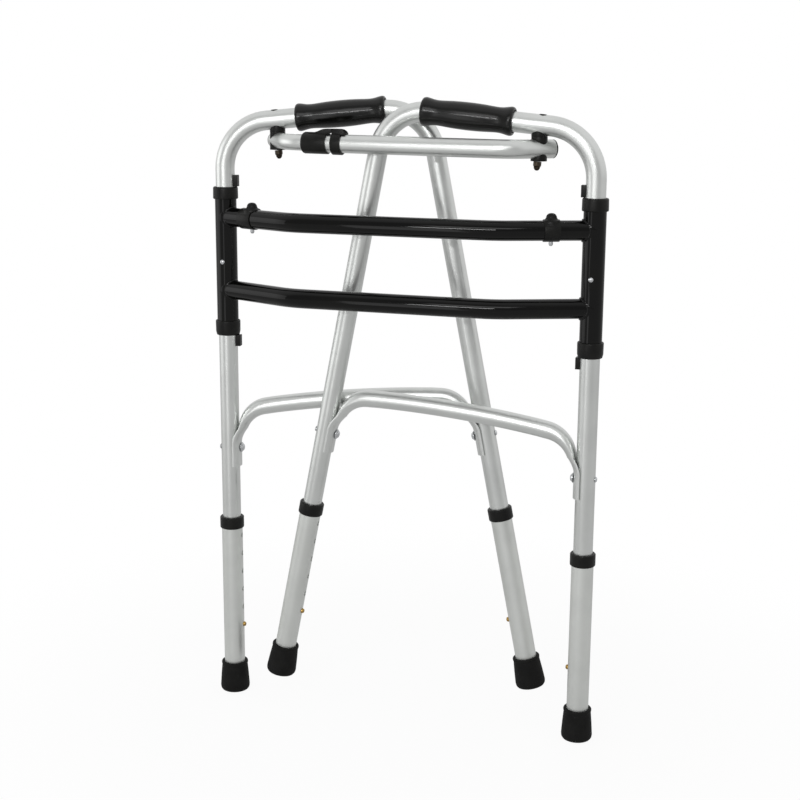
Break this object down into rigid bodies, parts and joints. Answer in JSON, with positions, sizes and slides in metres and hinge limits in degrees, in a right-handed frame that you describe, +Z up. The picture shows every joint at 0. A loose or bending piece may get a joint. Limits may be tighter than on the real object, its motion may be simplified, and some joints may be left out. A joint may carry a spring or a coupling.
{
  "type": "reciprocal walker",
  "caption": "Folding reciprocal walking frame with hinged tube side frames, a telescopic top link and height-adjustable legs, stored folded",
  "frame": {"origin": "on the floor, under the middle of the folded walker, midway between the two sleeves and 11.2 mm behind their axes", "axes": "+Z up along the sleeves, +X from the left sleeve to the right one as seen from the front, -Y to the front, where the cross tubes bow out"},
  "size_m": [0.5418, 0.146, 0.8415],
  "materials": {
    "anodised_aluminium": "satin anodised",
    "lower_leg_aluminium": "satin anodised, a little duller",
    "black_powder_coat": "gloss black coat",
    "black_moulded_plastic": "satin moulded",
    "black_grip_vinyl": "soft satin grip",
    "black_rubber": "matte rubber",
    "zinc_steel": "zinc plated",
    "dark_nut_steel": "dark oxide",
    "brass": "bright"
  },
  "bodies": {
    "front_frame": {"upper_cross_tube": "black_powder_coat", "lower_cross_tube": "black_powder_coat", "left_sleeve": "black_powder_coat", "left_top_collar": "black_moulded_plastic", "left_bottom_collar": "black_moulded_plastic", "left_sleeve_rivet": "zinc_steel", "left_cross_tube_clip": "black_moulded_plastic", "left_clip_pin": "zinc_steel", "right_sleeve": "black_powder_coat", "right_top_collar": "black_moulded_plastic", "right_bottom_collar": "black_moulded_plastic", "right_sleeve_rivet": "zinc_steel", "right_cross_tube_clip": "black_moulded_plastic", "right_clip_pin": "zinc_steel"},
    "left_side_frame": {"left_side_tube": "anodised_aluminium", "left_grip": "black_grip_vinyl", "left_brace": "anodised_aluminium", "left_front_brace_bolt": "zinc_steel", "left_rear_brace_bolt": "zinc_steel", "left_upper_stop": "black_moulded_plastic", "left_lower_stop": "black_moulded_plastic", "left_handle_saddle": "black_moulded_plastic"},
    "left_front_leg": {"left_front_lower_leg": "lower_leg_aluminium", "left_front_leg_collar": "black_moulded_plastic", "left_front_foot": "black_rubber"},
    "left_front_button": {"left_front_spring_button": "brass"},
    "left_rear_leg": {"left_rear_lower_leg": "lower_leg_aluminium", "left_rear_leg_collar": "black_moulded_plastic", "left_rear_foot": "black_rubber"},
    "left_rear_button": {"left_rear_spring_button": "brass"},
    "right_side_frame": {"right_side_tube": "anodised_aluminium", "right_grip": "black_grip_vinyl", "right_brace": "anodised_aluminium", "right_front_brace_bolt": "zinc_steel", "right_rear_brace_bolt": "zinc_steel", "right_upper_stop": "black_moulded_plastic", "right_lower_stop": "black_moulded_plastic", "right_handle_saddle": "black_moulded_plastic", "right_pivot_bolt": "zinc_steel", "right_acorn_nut": "dark_nut_steel"},
    "right_front_leg": {"right_front_lower_leg": "lower_leg_aluminium", "right_front_leg_collar": "black_moulded_plastic", "right_front_foot": "black_rubber"},
    "right_front_button": {"right_front_spring_button": "brass"},
    "right_rear_leg": {"right_rear_lower_leg": "lower_leg_aluminium", "right_rear_leg_collar": "black_moulded_plastic", "right_rear_foot": "black_rubber"},
    "right_rear_button": {"right_rear_spring_button": "brass"},
    "link_outer": {"link_outer_tube": "anodised_aluminium", "link_lock_sleeve": "black_moulded_plastic", "link_lock_ring": "black_moulded_plastic", "right_link_plug": "black_moulded_plastic", "right_upper_link_saddle": "black_moulded_plastic", "right_lower_link_saddle": "black_moulded_plastic"},
    "link_inner": {"link_inner_tube": "anodised_aluminium", "left_link_plug": "black_moulded_plastic", "left_upper_link_saddle": "black_moulded_plastic", "left_lower_link_saddle": "black_moulded_plastic", "left_pivot_bolt": "zinc_steel", "left_acorn_nut": "dark_nut_steel"}
  },
  "joints": [
    {"name": "left_swing", "type": "hinge", "parent": "front_frame", "child": "left_side_frame", "pos_m": [-0.25, -0.0116, 0.62], "axis": [0, 0, 1], "range_deg": [0, 76]},
    {"name": "right_swing", "type": "hinge", "parent": "front_frame", "child": "right_side_frame", "pos_m": [0.25, -0.0116, 0.62], "axis": [0, 0, -1], "range_deg": [0, 34.6]},
    {"name": "link_turn", "type": "hinge", "parent": "right_side_frame", "child": "link_outer", "pos_m": [0.1772, -0.01223, 0.7795], "axis": [0, 0, 1], "range_deg": [0, 32.3]},
    {"name": "link_slide", "type": "slide", "parent": "link_outer", "child": "link_inner", "axis": [-0.9995, 0.0324, 0], "range_m": [0, 0.0787]},
    {"name": "left_front_leg_height", "type": "slide", "parent": "left_side_frame", "child": "left_front_leg", "axis": [0, 0, -1], "range_m": [0, 0.1335], "deforming": ["left_front_spring_button"]},
    {"name": "left_front_button_press", "type": "slide", "parent": "left_side_frame", "child": "left_front_button", "axis": [-0.9888, -0.1495, 0], "range_m": [0, 0.0048], "stiffness_N_per_m": 500, "springref_m": -0.001},
    {"name": "left_rear_leg_height", "type": "slide", "parent": "left_side_frame", "child": "left_rear_leg", "axis": [0.1897, 0.0287, -0.9814], "range_m": [0, 0.1335], "deforming": ["left_rear_spring_button"]},
    {"name": "left_rear_button_press", "type": "slide", "parent": "left_side_frame", "child": "left_rear_button", "axis": [0.9704, 0.1468, 0.1918], "range_m": [0, 0.0048], "stiffness_N_per_m": 500, "springref_m": -0.001},
    {"name": "right_front_leg_height", "type": "slide", "parent": "right_side_frame", "child": "right_front_leg", "axis": [0, 0, -1], "range_m": [0, 0.1335], "deforming": ["right_front_spring_button"]},
    {"name": "right_front_button_press", "type": "slide", "parent": "right_side_frame", "child": "right_front_button", "axis": [1, 0.0087, 0], "range_m": [0, 0.0048], "stiffness_N_per_m": 500, "springref_m": -0.001},
    {"name": "right_rear_leg_height", "type": "slide", "parent": "right_side_frame", "child": "right_rear_leg", "axis": [-0.1918, -0.0017, -0.9814], "range_m": [0, 0.1335], "deforming": ["right_rear_spring_button"]},
    {"name": "right_rear_button_press", "type": "slide", "parent": "right_side_frame", "child": "right_rear_button", "axis": [-0.9814, -0.0086, 0.1918], "range_m": [0, 0.0048], "stiffness_N_per_m": 500, "springref_m": -0.001}
  ],
  "couplings": [
    {"joint": "right_swing", "follows": "left_swing", "ratio": 0.4545},
    {"joint": "link_turn", "follows": "left_swing", "ratio": 0.42379},
    {"joint": "link_slide", "follows": "left_swing", "m_per_rad": 0.059239}
  ]
}
